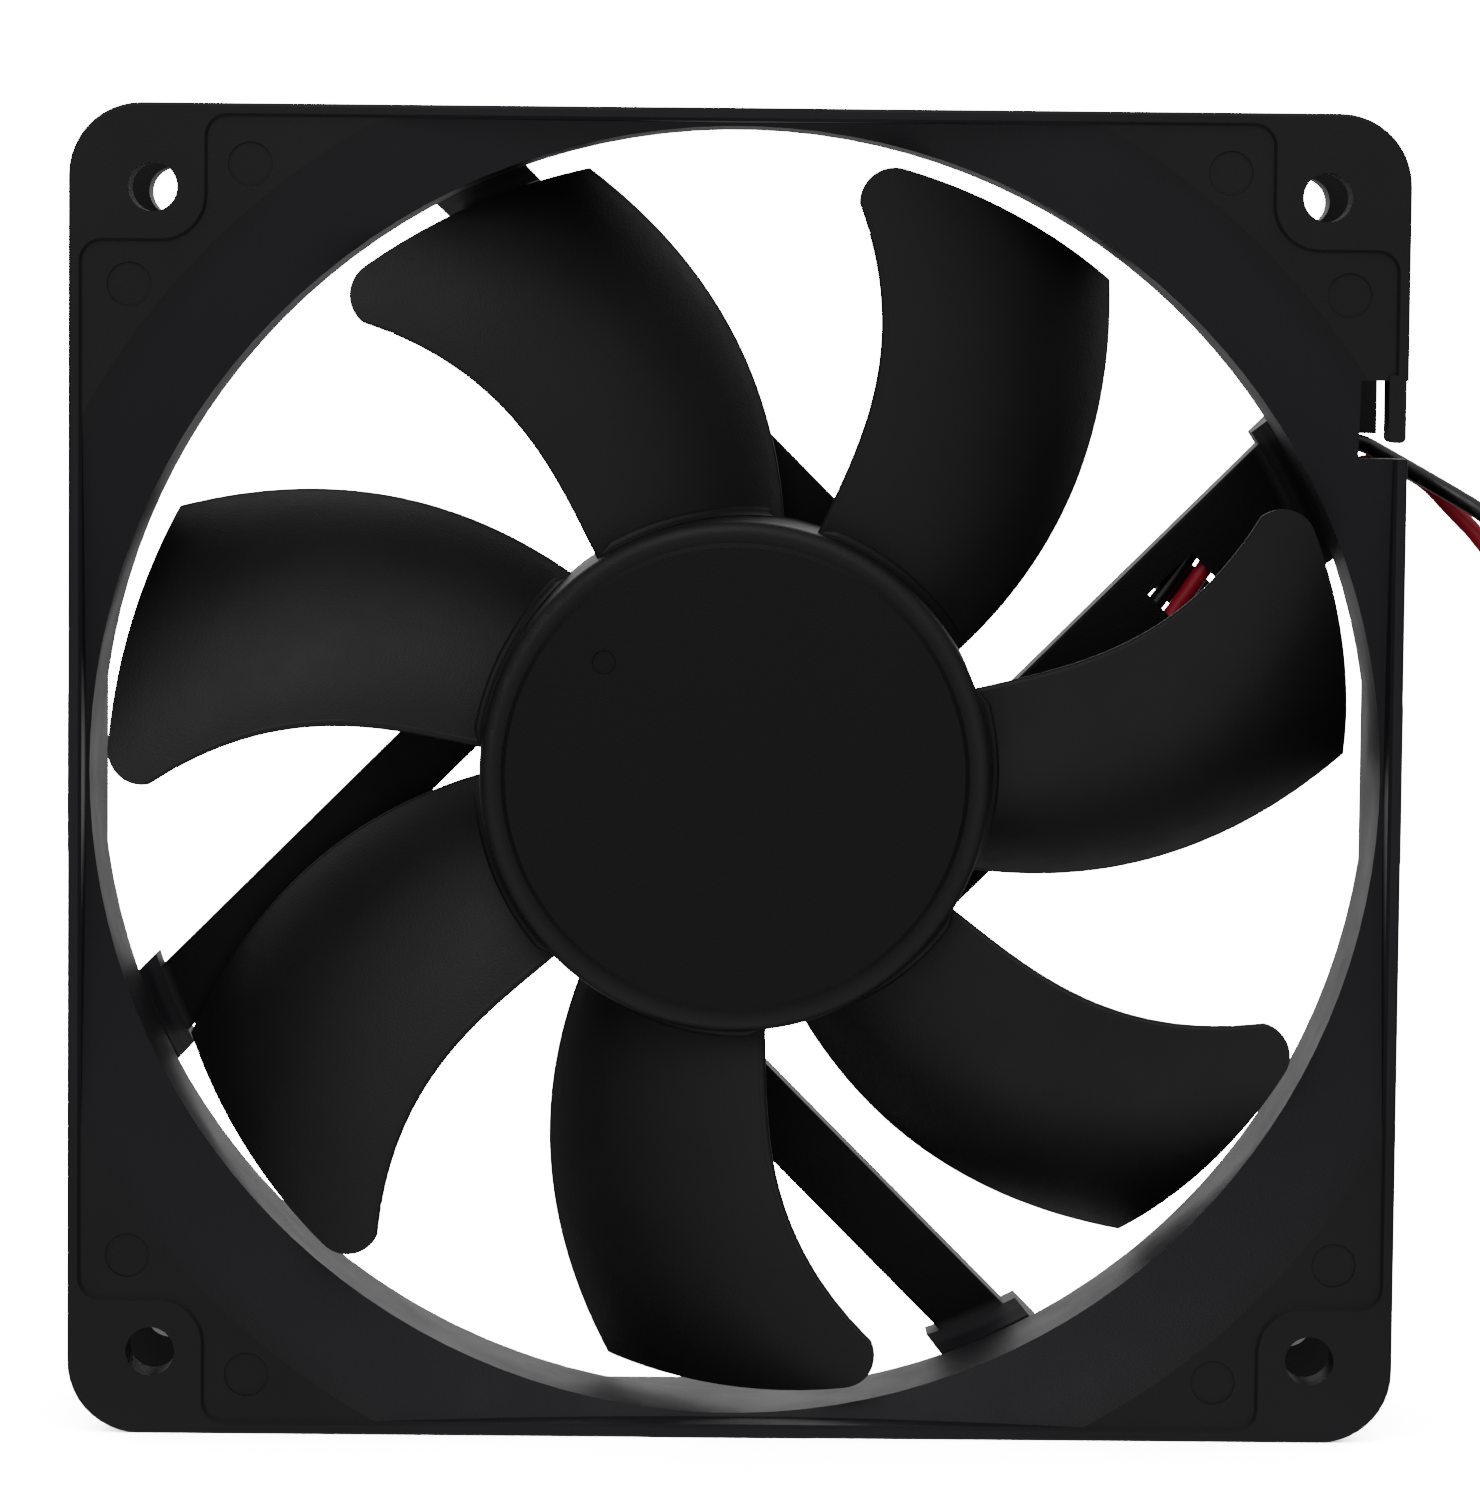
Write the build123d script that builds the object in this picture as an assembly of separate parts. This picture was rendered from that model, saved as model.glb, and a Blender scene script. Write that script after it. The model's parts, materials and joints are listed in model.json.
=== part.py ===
from build123d import *
import math
import os

# A 120 mm case fan with a two-wire lead, standing on its bottom edge.
#
# Every fixed and turning piece is first modelled with the fan lying on its rear face: +Z is then the
# axis towards the intake, z = 0 the rear face and z = FRAME_DEPTH the front face. stand() turns it up:
# the axis then lies along Y, the intake faces -Y, +Z is up, and the origin is on the axis, half way
# through the frame. The free lead is modelled straight in the standing pose. All sizes are millimetres.

# ---- Frame ----
FRAME_SIDE = 120.0
FRAME_DEPTH = 25.0
FRAME_CORNER = 6.5
FLANGE = 4.4
EDGE_ROUND = 0.3
HOLE_SPACING = 105.0
HOLE_RADIUS = 2.2
DUCT_OUTER = 60.4
BORE = 58.5
BORE_DRAFT_Z = 8.5
BORE_REAR = 59.2
FLARE_FRONT = 67.0
FLARE_REAR = 63.0
RIM = 1.2
RECESS = 0.4
RECESS_SLOPE = 35.0
PAD_EDGE = 47.6
PAD_ROUND = 4.2
RECESS_ROUND = 1.8
PIN_MARK_RADIUS = 2.0
PIN_MARK_DEPTH = 0.2
PIN_MARK_PLACE = (43.8, 54.6)

# ---- Wire notch and hook in the front flange, opening in the rear flange ----
NOTCH_LEFT = 55.8
NOTCH_LOW = 29.2
NOTCH_HIGH = 36.2
HOOK_LEFT = 58.25
HOOK_RIGHT = 59.8
HOOK_LOW = 30.65
HOOK_ROUND = 0.5
REAR_NOTCH_LEFT = 50.0
REAR_NOTCH_LOW = 24.0
REAR_NOTCH_HIGH = 31.1
REAR_RELIEF_LEFT = 59.4
REAR_RELIEF_HIGH = 36.6

# ---- Struts and motor base ----
STRUT_COUNT = 4
STRUT_TURN = 45.0
STRUT_REACH = 62.0
STRUT_NEAR = 17.8
STRUT_FAR = 23.8
STRUT_ROUND = 0.3
ROOT_THICK = 1.5
ROOT_BESIDE = 1.2
ROOT_HIGH = 7.2
ROOT_HOLLOW = (0.55, 0.9)
WIDE_NEAR = 13.0
WIDE_FAR = 24.1
CHANNEL_WALL = 1.0
CHANNEL_DEPTH = 3.65
CHANNEL_START = 4.0
DOORWAY_END = 20.0
DOORWAY_NEAR = 15.0
WINDOW = (38.4, 44.0, 15.9, 19.4)
TAB = (39.3, 43.4)
TAB_WIDTH = 5.4
TAB_DEPTH = 0.9
BASE_RADIUS = 23.2
BASE_WALL = 1.7
BASE_HEIGHT = 5.4
BASE_FLOOR = (0.6, 1.9)
SOCKET_RADIUS = 6.6
SOCKET_HEIGHT = 6.2
POST_RADIUS = 1.2
POST_PLACE = 18.6
POST_ANGLES = (95.0, 185.0, 275.0)

# ---- Rotor ----
BLADE_COUNT = 7
BLADE_TURN = 12.0
TIP_RADIUS = 56.7
TIP_ROUND = 3.2
TIP_CORNER_CUT = ((49.0, 11.5), (57.0, 22.2), (50.0, 32.0), (40.0, 22.0), (49.0, 11.5))
CAMBER = 0.085
CAMBER_PLACE = 0.45
BLADE_HALF_THICK = 0.95
NOSE_HALF = 0.45
TAIL_HALF = 0.35
BLADE_STATIONS = (17.0, 24.0, 31.0, 38.0, 45.0, 51.0, 58.0)
HUB_FRONT = 24.4
HUB_SHOULDER = 24.1
HUB_DISC = 20.75
HUB_RADIUS_FRONT = 23.1
HUB_RADIUS_REAR = 23.4
HUB_REAR = 6.0
HUB_INNER = 21.5
HUB_CEILING = 22.7
HUB_ROUND = 1.1
BOSS_RADIUS = 4.2
BOSS_END = 20.8
DIMPLE_PLACE = (-11.9, 10.3)
DIMPLE_RADIUS = 1.1
DIMPLE_DEPTH = 0.25
YOKE_THICK = 1.0
YOKE_REAR = 7.5
MAGNET_INNER = 18.7
MAGNET_Z = (8.0, 19.0)
SHAFT_RADIUS = 1.5
SHAFT_Z = (0.9, 23.5)

# ---- Bearings, 3 x 8 x 4 ----
BEARING_OUTER = 4.0
BEARING_HEIGHT = 4.0
RACE_INNER_EDGE = 2.15
RACE_OUTER_EDGE = 3.3
BALL_PITCH = 2.75
BALL_RADIUS = 0.79
GROOVE_RADIUS = 0.84
BALL_COUNT = 7
SHIELD_INNER = 2.35
SHIELD_THICK = 0.15
SHIELD_SEAT = 0.25
POCKET_GAP = 0.05
CAGE_INNER = 2.42
CAGE_OUTER = 3.08
CAGE_LOW = -0.3
CAGE_HIGH = 1.3
REAR_BEARING_Z = 1.8
FRONT_BEARING_Z = 14.8
TUBE_RADIUS = 5.0
TUBE_Z = (1.2, 19.2)
TUBE_LAND = 3.4
CLIP_Z = (1.25, 1.65)
CLIP_RADIUS = 3.0
CLIP_GROOVE = 1.2
CLIP_SLOT = 1.8
SHAFT_CHAMFER = 0.2
WASHER_RADIUS = 2.1
SPRING_RADIUS = 1.95
SPRING_WIRE = 0.16
SPRING_TURNS = 3

# ---- Stator and board ----
POLE_COUNT = 4
CORE_Z = (11.0, 16.0)
CORE_RADIUS = 18.2
CORE_RING = 7.6
NECK_HALF = 2.0
SHOE_INNER = 15.6
SHOE_HALF_ANGLE = 38.0
PLATE = 1.0
PLATE_FLANGE = 3.2
PLATE_COLLAR = 0.9
PLATE_WALL_HALF = 5.2
COIL_RADIAL = (8.2, 14.2)
COIL_HALF = 4.9
COIL_HIGH = 3.4
COIL_ROUND = 2.2
BOARD_RADIUS = 21.0
BOARD_HOLE = 6.8
BOARD_Z = (3.9, 4.9)
PIN_PLACE = (14.9, 4.2)
PIN_SIDE = 0.6
BOARD_FRONT = BOARD_Z[1]
CHIP_ANGLE = 225.0
CHIP_RADIAL = (10.5, 15.5)
CHIP_HALF = 1.95
CHIP_HEIGHTS = (0.15, 1.6)
CHIP_LEAD_PITCH = 1.27
CHIP_LEAD_HALF = 0.2
CHIP_LEAD_REACH = 3.0
CHIP_LEAD_THICK = 0.2
CHIP_LEAD_HEIGHT = 0.9
LABEL_RADIUS = 21.0
LABEL_THICK = 0.15

# ---- Lead ----
WIRE = 1.6
WIRE_Z = 2.75
FIRST_RUN = 3.8
FLOOR_Z = -FRAME_SIDE / 2
COIL_CENTRE = (99.6, 0.0)
COIL_START_RADIUS = 10.6
COIL_END_RADIUS = 8.2
COIL_LAYERS = 4
TIE_WIDTH = 2.5
TIE_THICK = 0.5
TIE_GAP = 0.1
PLUG_X = 115.5
PLUG_Y = (-1.0, 11.0)
PLUG_WIDTH = 5.4
PLUG_TALL = 4.8
PLUG_PITCH = 2.54
PLUG_CAVITY = 1.9
PLUG_RIB = (0.8, 0.6)
PLUG_RIB_START = 3.0
PLUG_ROUND = 0.5
CONTACT_SIDE = 1.7
CONTACT_WALL = 0.25
CONTACT_Y = (1.0, 10.6)
SOLDER_RADIUS = 1.1
SOLDER_TIP = 0.6
SOLDER_LOW = 2.1


def stand(shape):
    """Turns a piece from the lying pose, rear face down, to the standing pose."""
    return Pos(0, FRAME_DEPTH / 2, 0) * Rot(90, 0, 0) * shape


def ring(outer, inner, low, high):
    """A plain ring or tube about the axis."""
    face = Circle(outer) - Circle(inner)
    return Pos(0, 0, low) * extrude(face, high - low)


def disc(radius, low, high):
    """A plain disc about the axis."""
    return Pos(0, 0, low) * extrude(Circle(radius), high - low)


def block(x_low, x_high, y_low, y_high, z_low, z_high):
    """A box given by its limits."""
    centre = Pos((x_low + x_high) / 2, (y_low + y_high) / 2, (z_low + z_high) / 2)
    return centre * Box(x_high - x_low, y_high - y_low, z_high - z_low)


def around(count, shape, start=0.0):
    """Copies of a shape, evenly spaced about the axis."""
    return [Rot(0, 0, start + 360.0 * k / count) * shape for k in range(count)]


# ---- Frame ----

def flange(low, outer_is_top):
    """One square flange, its outward edge slightly rounded."""
    plate = Pos(0, 0, low) * extrude(RectangleRounded(FRAME_SIDE, FRAME_SIDE, FRAME_CORNER), FLANGE)
    layer = plate.edges().group_by(Axis.Z)[-1 if outer_is_top else 0]
    return fillet(layer, EDGE_ROUND)


def recess_outline():
    """The shallow recess of a flange: the square inside the rim, less the four corner pads."""
    half = FRAME_SIDE / 2 - RIM
    outline = Rectangle(2 * half, 2 * half)
    pad = 2 * (FRAME_SIDE / 2 - PAD_EDGE)
    for x_side in (-1, 1):
        for y_side in (-1, 1):
            outline -= Pos(x_side * FRAME_SIDE / 2, y_side * FRAME_SIDE / 2) * Rectangle(pad, pad)
    pad_corners = outline.vertices().filter_by(lambda v: abs(abs(v.X) - abs(v.Y)) < 0.01)
    outline = fillet(pad_corners, PAD_ROUND)
    rim_corners = outline.vertices().filter_by(
        lambda v: abs(min(abs(v.X), abs(v.Y)) - PAD_EDGE) < 0.01 and max(abs(v.X), abs(v.Y)) > half - 0.01
    )
    return fillet(rim_corners, RECESS_ROUND)


def front_recess():
    """The space of the front recess, with sloping sides. The rear one is its mirror image."""
    return Pos(0, 0, FRAME_DEPTH - RECESS) * extrude(recess_outline(), RECESS + 0.5, taper=-RECESS_SLOPE)


def pin_marks(depth_low, depth_high):
    """Shallow round ejector marks, two beside each corner pad."""
    near, far = PIN_MARK_PLACE
    mark = disc(PIN_MARK_RADIUS, depth_low, depth_high)
    spots = [(x * a, y * b) for a, b in ((near, far), (far, near)) for x in (-1, 1) for y in (-1, 1)]
    return [Pos(x, y, 0) * mark for x, y in spots]


def air_path():
    """The space that air passes through: bore, front flare and rear flare, kept inside the rim."""
    half = FRAME_SIDE / 2 - RIM
    top = FRAME_DEPTH - RECESS
    throat = FRAME_DEPTH - FLANGE - 0.1
    profile = Polyline(
        (0, -1),
        (FLARE_REAR, -1),
        (FLARE_REAR, 0),
        (BORE_REAR, FLANGE),
        (BORE, BORE_DRAFT_Z),
        (BORE, throat),
        (FLARE_FRONT, top),
        (FLARE_FRONT, FRAME_DEPTH + 1),
        (0, FRAME_DEPTH + 1),
        (0, -1),
    )
    solid = revolve(Plane.XZ * make_face(profile), Axis.Z)
    limit = block(-half, half, -half, half, -2, FRAME_DEPTH + 2)
    front_only = block(-half, half, -half, half, FRAME_DEPTH - RECESS, FRAME_DEPTH + 2)
    flare_lid = front_only & ring(FLARE_FRONT + 5, BORE, FRAME_DEPTH - RECESS, FRAME_DEPTH + 2)
    return (solid & limit) - (flare_lid - extrude(recess_outline(), FRAME_DEPTH + 2))


def strut(near, far):
    """A strut along +X on the -Y side of the axis, its two front edges rounded."""
    bar = block(0, STRUT_REACH, -far, -near, 0, FLANGE)
    edges = bar.edges().filter_by(Axis.X).group_by(Axis.Z)[-1]
    bar = fillet(edges, STRUT_ROUND)
    return bar & disc(FLARE_REAR + 0.5, 0, FLANGE)


def strut_root(near, far):
    """Thicker bore wall round the outer end of a strut, rising in a hollow curve to the wall."""
    inner = BORE - ROOT_THICK
    outer = (BORE_REAR + DUCT_OUTER) / 2
    across, up = ROOT_HOLLOW
    outline = [
        Polyline((outer, ROOT_HIGH), (outer, 0), (inner, 0), (inner, FLANGE)),
        ThreePointArc((inner, FLANGE), (inner + across, FLANGE + up), (BORE, ROOT_HIGH)),
        Line((BORE, ROOT_HIGH), (outer, ROOT_HIGH)),
    ]
    band = revolve(Plane.XZ * make_face(outline), Axis.Z)
    return band & block(0, STRUT_REACH, -far - ROOT_BESIDE, -near + ROOT_BESIDE, 0, ROOT_HIGH)


def wire_channel():
    """Space for the leads along the wide strut, open to the rear, and its way into the motor base."""
    low = -WIDE_FAR + CHANNEL_WALL
    high = -WIDE_NEAR - CHANNEL_WALL
    channel = block(CHANNEL_START, STRUT_REACH + 1, low, high, -1, CHANNEL_DEPTH)
    channel &= ring(DUCT_OUTER + 0.2, BASE_RADIUS, -2, FRAME_DEPTH)
    doorway = block(CHANNEL_START, DOORWAY_END, low + 0.2, -DOORWAY_NEAR, BASE_FLOOR[1], CHANNEL_DEPTH)
    doorway -= disc(BASE_RADIUS - 2, -2, FRAME_DEPTH)
    tab = block(*TAB, high - TAB_WIDTH, high, -1, TAB_DEPTH)
    return (channel - tab) + doorway


def channel_window():
    """The small opening in the wide strut's floor, behind the tab that keeps the leads in."""
    low_u, high_u, near, far = WINDOW
    return block(low_u, high_u, -far, -near, CHANNEL_DEPTH - 0.1, FLANGE + 1)


def make_frame():
    body = flange(0, False) + flange(FRAME_DEPTH - FLANGE, True)
    square = extrude(RectangleRounded(FRAME_SIDE, FRAME_SIDE, FRAME_CORNER), FRAME_DEPTH)
    body += disc(DUCT_OUTER, 0, FRAME_DEPTH) & square
    body -= air_path()
    recess = front_recess()
    body -= recess
    body -= Pos(0, 0, FRAME_DEPTH) * mirror(recess, Plane.XY)
    for mark in pin_marks(FRAME_DEPTH - RECESS - PIN_MARK_DEPTH, FRAME_DEPTH):
        body -= mark
    half = HOLE_SPACING / 2
    for x in (-half, half):
        for y in (-half, half):
            body -= Pos(x, y, -1) * extrude(Circle(HOLE_RADIUS), FRAME_DEPTH + 2)

    # Wire notch through the front flange, with the hook that hangs from its upper side.
    front = FRAME_DEPTH - FLANGE
    beyond_side = FRAME_SIDE / 2 + 1
    body -= block(NOTCH_LEFT, beyond_side, NOTCH_LOW, NOTCH_HIGH, front - 0.5, FRAME_DEPTH + 1)
    hook = block(HOOK_LEFT, HOOK_RIGHT, HOOK_LOW, NOTCH_HIGH + 0.5, front, FRAME_DEPTH)
    hook = fillet(hook.edges().filter_by(Axis.Z).group_by(Axis.Y)[0], HOOK_ROUND)
    body += hook

    # Motor base: wall, floor, socket for the bearing tube and posts under the board.
    body += ring(BASE_RADIUS, BASE_RADIUS - BASE_WALL, 0, BASE_HEIGHT)
    body += ring(BASE_RADIUS - BASE_WALL + 0.1, TUBE_RADIUS, *BASE_FLOOR)
    body += ring(SOCKET_RADIUS, TUBE_RADIUS, BASE_FLOOR[0], SOCKET_HEIGHT)
    for angle in POST_ANGLES:
        body += Rot(0, 0, angle) * Pos(POST_PLACE, 0, 0) * disc(POST_RADIUS, BASE_FLOOR[1], BOARD_Z[0])

    # Struts: three narrow ones and the wide one that carries the leads.
    inside_base = disc(BASE_RADIUS - BASE_WALL / 2, -1, FLANGE + 1)
    for k in range(STRUT_COUNT):
        is_wide = k == 0
        near, far = (WIDE_NEAR, WIDE_FAR) if is_wide else (STRUT_NEAR, STRUT_FAR)
        bar = strut(near, far) - inside_base + strut_root(near, far)
        body += Rot(0, 0, STRUT_TURN + 90.0 * k) * bar
    body -= Rot(0, 0, STRUT_TURN) * (wire_channel() + channel_window())

    # Opening in the rear flange, where the leads come out of the strut, and the relief in its side above.
    outside_duct = ring(FRAME_SIDE, DUCT_OUTER, -1, FLANGE + 0.5)
    body -= block(REAR_NOTCH_LEFT, beyond_side, REAR_NOTCH_LOW, REAR_NOTCH_HIGH, -1, FLANGE + 0.5) & outside_duct
    body -= block(REAR_RELIEF_LEFT, beyond_side, REAR_NOTCH_LOW, REAR_RELIEF_HIGH, -1, FLANGE + 0.5)
    return body


# ---- Rotor ----

def leading_edge(station):
    """Tangential place and height of the leading edge at a distance along the blade."""
    reach = station - 24.0
    return 3.3 + 0.03 * reach + 0.00048 * reach ** 3, FRAME_DEPTH - 4.6 + 0.122 * reach


def trailing_edge(station):
    """Tangential place and height of the trailing edge at a distance along the blade."""
    return -16.35 + 0.0125 * (station - 34.0) ** 2, FRAME_DEPTH - 15.4 - 0.113 * (station - 19.7)


def blade_section(station):
    """A cambered section with round nose and tail, in the plane x = station."""
    lead_t, lead_z = leading_edge(station)
    trail_t, trail_z = trailing_edge(station)
    chord = math.hypot(trail_t - lead_t, trail_z - lead_z)
    along = ((trail_t - lead_t) / chord, (trail_z - lead_z) / chord)
    front = (along[1], -along[0])

    def point(distance, offset):
        t = lead_t + along[0] * distance + front[0] * offset
        z = lead_z + along[1] * distance + front[1] * offset
        return Vector(station, t, z)

    nose = NOSE_HALF
    tail = chord - TAIL_HALF
    bulge = CAMBER * chord
    middle = CAMBER_PLACE * chord
    edges = [
        ThreePointArc(point(nose, NOSE_HALF), point(middle, bulge + BLADE_HALF_THICK), point(tail, TAIL_HALF)),
        ThreePointArc(point(tail, TAIL_HALF), point(chord, 0), point(tail, -TAIL_HALF)),
        ThreePointArc(point(tail, -TAIL_HALF), point(middle, bulge - BLADE_HALF_THICK), point(nose, -NOSE_HALF)),
        ThreePointArc(point(nose, -NOSE_HALF), point(0, 0), point(nose, NOSE_HALF)),
    ]
    return make_face(edges)


def blade_trim():
    """What the blade is cut to: the tip circle with its rounded leading corner, outside the hub's bore."""
    corner = make_face(Polyline(*TIP_CORNER_CUT))
    outline = Circle(TIP_RADIUS) - corner
    tip_corner = outline.vertices().filter_by(
        lambda v: abs(math.hypot(v.X, v.Y) - TIP_RADIUS) < 0.01 and v.X > 52 and v.Y > 10
    )
    outline = fillet(tip_corner, TIP_ROUND)
    outline -= Circle(HUB_INNER + 0.3)
    return extrude(outline, FRAME_DEPTH)


def make_blade():
    blank = loft([blade_section(station) for station in BLADE_STATIONS])
    return blank & blade_trim()


def hub_profile():
    outer = HUB_RADIUS_FRONT
    return Polyline(
        (0, HUB_FRONT),
        (HUB_DISC, HUB_FRONT),
        (HUB_DISC + 0.4, HUB_SHOULDER),
        (outer, HUB_SHOULDER),
        (HUB_RADIUS_REAR, HUB_REAR),
        (HUB_INNER, HUB_REAR),
        (HUB_INNER, HUB_CEILING),
        (BOSS_RADIUS, HUB_CEILING),
        (BOSS_RADIUS, BOSS_END),
        (SHAFT_RADIUS, BOSS_END),
        (SHAFT_RADIUS, SHAFT_Z[1]),
        (0, SHAFT_Z[1]),
        (0, HUB_FRONT),
    )


def make_impeller():
    face = make_face(hub_profile())
    rim = face.vertices().filter_by(
        lambda v: abs(v.X - HUB_RADIUS_FRONT) < 0.01 and abs(v.Y - HUB_SHOULDER) < 0.01
    )
    face = fillet(rim, HUB_ROUND)
    hub = revolve(Plane.XZ * face, Axis.Z)
    for blade in around(BLADE_COUNT, make_blade(), BLADE_TURN):
        hub += blade
    x, y = DIMPLE_PLACE
    hub -= Pos(x, y, HUB_FRONT - DIMPLE_DEPTH) * extrude(Circle(DIMPLE_RADIUS), 1)
    return hub


def make_yoke():
    cup = ring(HUB_INNER, HUB_INNER - YOKE_THICK, YOKE_REAR, HUB_CEILING)
    return cup + ring(HUB_INNER, BOSS_RADIUS + 0.1, HUB_CEILING - YOKE_THICK, HUB_CEILING)


def make_shaft():
    shaft = disc(SHAFT_RADIUS, *SHAFT_Z)
    ends = shaft.edges().filter_by(GeomType.CIRCLE)
    shaft = chamfer(ends, SHAFT_CHAMFER)
    return shaft - ring(SHAFT_RADIUS + 1, CLIP_GROOVE, *CLIP_Z)


def make_clip():
    slot = block(-CLIP_SLOT / 2, CLIP_SLOT / 2, 0, CLIP_RADIUS + 1, 0, 5)
    return ring(CLIP_RADIUS, CLIP_GROOVE, *CLIP_Z) - slot


def make_spring():
    low = FRONT_BEARING_Z + BEARING_HEIGHT + SPRING_WIRE + 0.01
    high = BOSS_END - SPRING_WIRE - 0.01
    path = Pos(0, 0, low) * Helix((high - low) / SPRING_TURNS, high - low, SPRING_RADIUS)
    return sweep(Plane(origin=path @ 0, z_dir=path % 0) * Circle(SPRING_WIRE), path)


# ---- Bearings ----

def groove():
    """The ball track, as a ring of round section, with the bearing's middle at z = 0."""
    return Solid.make_torus(BALL_PITCH, GROOVE_RADIUS)


def bearing_pieces():
    """The pieces of one ball bearing with its lower face at z = 0."""
    middle = BEARING_HEIGHT / 2
    track = Pos(0, 0, middle) * groove()
    inner = ring(RACE_INNER_EDGE, SHAFT_RADIUS, 0, BEARING_HEIGHT) - track
    outer = ring(BEARING_OUTER, RACE_OUTER_EDGE, 0, BEARING_HEIGHT) - track
    shield = ring(RACE_OUTER_EDGE, SHIELD_INNER, SHIELD_SEAT - SHIELD_THICK, SHIELD_SEAT)
    shields = [shield, Pos(0, 0, BEARING_HEIGHT - 2 * SHIELD_SEAT + SHIELD_THICK) * shield]
    ball = Pos(BALL_PITCH, 0, middle) * Sphere(BALL_RADIUS)
    balls = around(BALL_COUNT, ball)
    cage = ring(CAGE_OUTER, CAGE_INNER, middle + CAGE_LOW, middle + CAGE_HIGH)
    pocket = Pos(BALL_PITCH, 0, middle) * Sphere(BALL_RADIUS + POCKET_GAP)
    for space in around(BALL_COUNT, pocket):
        cage -= space
    return {
        "inner": inner,
        "outer": outer,
        "shields": Compound(shields),
        "balls": Compound(balls),
        "cage": cage,
    }


def make_tube():
    tube = ring(TUBE_RADIUS, TUBE_LAND, *TUBE_Z)
    tube -= disc(BEARING_OUTER, TUBE_Z[0] - 1, REAR_BEARING_Z + BEARING_HEIGHT)
    return tube - disc(BEARING_OUTER, FRONT_BEARING_Z, TUBE_Z[1] + 1)


# ---- Stator and board ----

def pole_shape(ring_radius, neck_half):
    """Outline of the stator: a ring with four T-shaped poles."""
    outline = Circle(ring_radius)
    angle = math.radians(SHOE_HALF_ANGLE)
    far = CORE_RADIUS + 5
    wedge = make_face(
        Polyline(
            (0, 0),
            (far * math.cos(angle), -far * math.sin(angle)),
            (far * 1.5, 0),
            (far * math.cos(angle), far * math.sin(angle)),
            (0, 0),
        )
    )
    shoe = (Circle(CORE_RADIUS) - Circle(SHOE_INNER)) & wedge
    neck = Pos((SHOE_INNER + 0.5) / 2, 0) * Rectangle(SHOE_INNER + 0.5, 2 * neck_half)
    for k in range(POLE_COUNT):
        outline += Rot(0, 0, 90.0 * k) * neck
        outline += Rot(0, 0, 90.0 * k) * shoe
    return outline - Circle(TUBE_RADIUS)


def make_core():
    return Pos(0, 0, CORE_Z[0]) * extrude(pole_shape(CORE_RING, NECK_HALF), CORE_Z[1] - CORE_Z[0])


def make_insulator():
    """A plate on one end of the core, with flanges that hold the windings. Its core side is at z = 0."""
    plate = ring(CORE_RING, TUBE_RADIUS, 0, PLATE)
    plate += ring(CORE_RING, CORE_RING - PLATE_COLLAR, 0, PLATE + PLATE_FLANGE)
    for k in range(POLE_COUNT):
        neck = block(CORE_RING - 1, COIL_RADIAL[1] + 0.3, -NECK_HALF, NECK_HALF, 0, PLATE)
        wall_in = COIL_RADIAL[1] + 0.2
        wall_out = SHOE_INNER - 0.1
        flange_wall = block(wall_in, wall_out, -PLATE_WALL_HALF, PLATE_WALL_HALF, 0, PLATE + PLATE_FLANGE)
        plate += Rot(0, 0, 90.0 * k) * (neck + flange_wall)
    return plate


def pin_boxes(side):
    """Upright square pins at three poles, from the board up into the rear insulator."""
    r, t = PIN_PLACE
    pin = block(r - side / 2, r + side / 2, t - side / 2, t + side / 2, BOARD_Z[0] - 0.6, CORE_Z[0] - 0.5)
    return [Rot(0, 0, 90.0 * k) * pin for k in range(3)]


def make_winding():
    """One winding about the neck of the pole on +X."""
    mid = (CORE_Z[0] + CORE_Z[1]) / 2
    half_open = (CORE_Z[1] - CORE_Z[0]) / 2 + PLATE + 0.1
    half_out = half_open + COIL_HIGH - 0.9
    inner_r, outer_r = COIL_RADIAL
    outer = block(inner_r, outer_r, -COIL_HALF, COIL_HALF, mid - half_out, mid + half_out)
    outer = fillet(outer.edges().filter_by(Axis.X), COIL_ROUND)
    hole = block(inner_r - 1, outer_r + 1, -NECK_HALF - 0.1, NECK_HALF + 0.1, mid - half_open, mid + half_open)
    return outer - hole


def make_board():
    board = ring(BOARD_RADIUS, BOARD_HOLE, *BOARD_Z)
    for pin in pin_boxes(PIN_SIDE):
        board -= pin
    return board


def on_board(angle, radius, length, width, low, high):
    """A box standing on the board's upper side, its length along the radius."""
    z = BOARD_FRONT
    part = block(radius - length / 2, radius + length / 2, -width / 2, width / 2, z + low, z + high)
    return Rot(0, 0, angle) * part


def chip_leads():
    """The eight bent leads of the driver chip."""
    leads = []
    z = BOARD_FRONT
    near = CHIP_HALF + 0.05
    bend = near + CHIP_LEAD_THICK
    for k in range(4):
        place = sum(CHIP_RADIAL) / 2 + (k - 1.5) * CHIP_LEAD_PITCH
        left = place - CHIP_LEAD_HALF
        right = place + CHIP_LEAD_HALF
        lead = block(left, right, bend, CHIP_LEAD_REACH, z, z + CHIP_LEAD_THICK)
        lead += block(left, right, near, bend, z, z + CHIP_LEAD_HEIGHT)
        for half in (lead, mirror(lead, Plane.XZ)):
            leads.append(Rot(0, 0, CHIP_ANGLE) * half)
    return Compound(leads)


# ---- Leads ----

def strut_point(u, n, z):
    """A point along the wide strut, in the lying pose: u outwards, n sideways from the axis."""
    turn = math.radians(STRUT_TURN)
    x = u * math.cos(turn) + n * math.sin(turn)
    y = u * math.sin(turn) - n * math.cos(turn)
    return Vector(x, y, z)


def standing(point):
    """The same point in the standing pose."""
    return Vector(point.X, FRAME_DEPTH / 2 - point.Z, point.Y)


def beyond(points, distance):
    """A point straight on from the last run of a route."""
    run = points[-1] - points[-2]
    return points[-1] + run.normalized() * distance


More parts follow.
